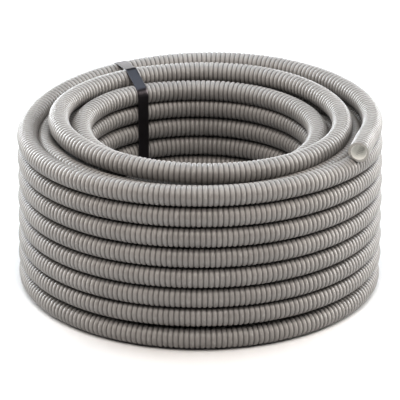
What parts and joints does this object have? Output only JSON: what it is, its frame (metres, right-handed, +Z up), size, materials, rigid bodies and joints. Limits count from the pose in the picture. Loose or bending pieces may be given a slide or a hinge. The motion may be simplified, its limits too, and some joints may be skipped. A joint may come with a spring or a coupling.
{
  "type": "coil of liquidtight flexible conduit",
  "caption": "Round coil of grey ribbed flexible plastic conduit, wound in nested layers, lying on its end and held by a flat black strap, with a square-cut open end for a fitting.",
  "frame": {"origin": "on the coil's axis, on the plane that the coil lies on", "axes": "+Z up the coil's axis, -Y towards the viewer of the picture, +X to the right"},
  "size_m": [0.366, 0.366, 0.1877],
  "materials": {
    "conduit": "satin grey PVC with rounded ribs all round it",
    "strap": "black polypropylene strapping, finely embossed"
  },
  "bodies": {
    "root": {"conduit_coil": "conduit", "strap": "strap"}
  },
  "joints": []
}
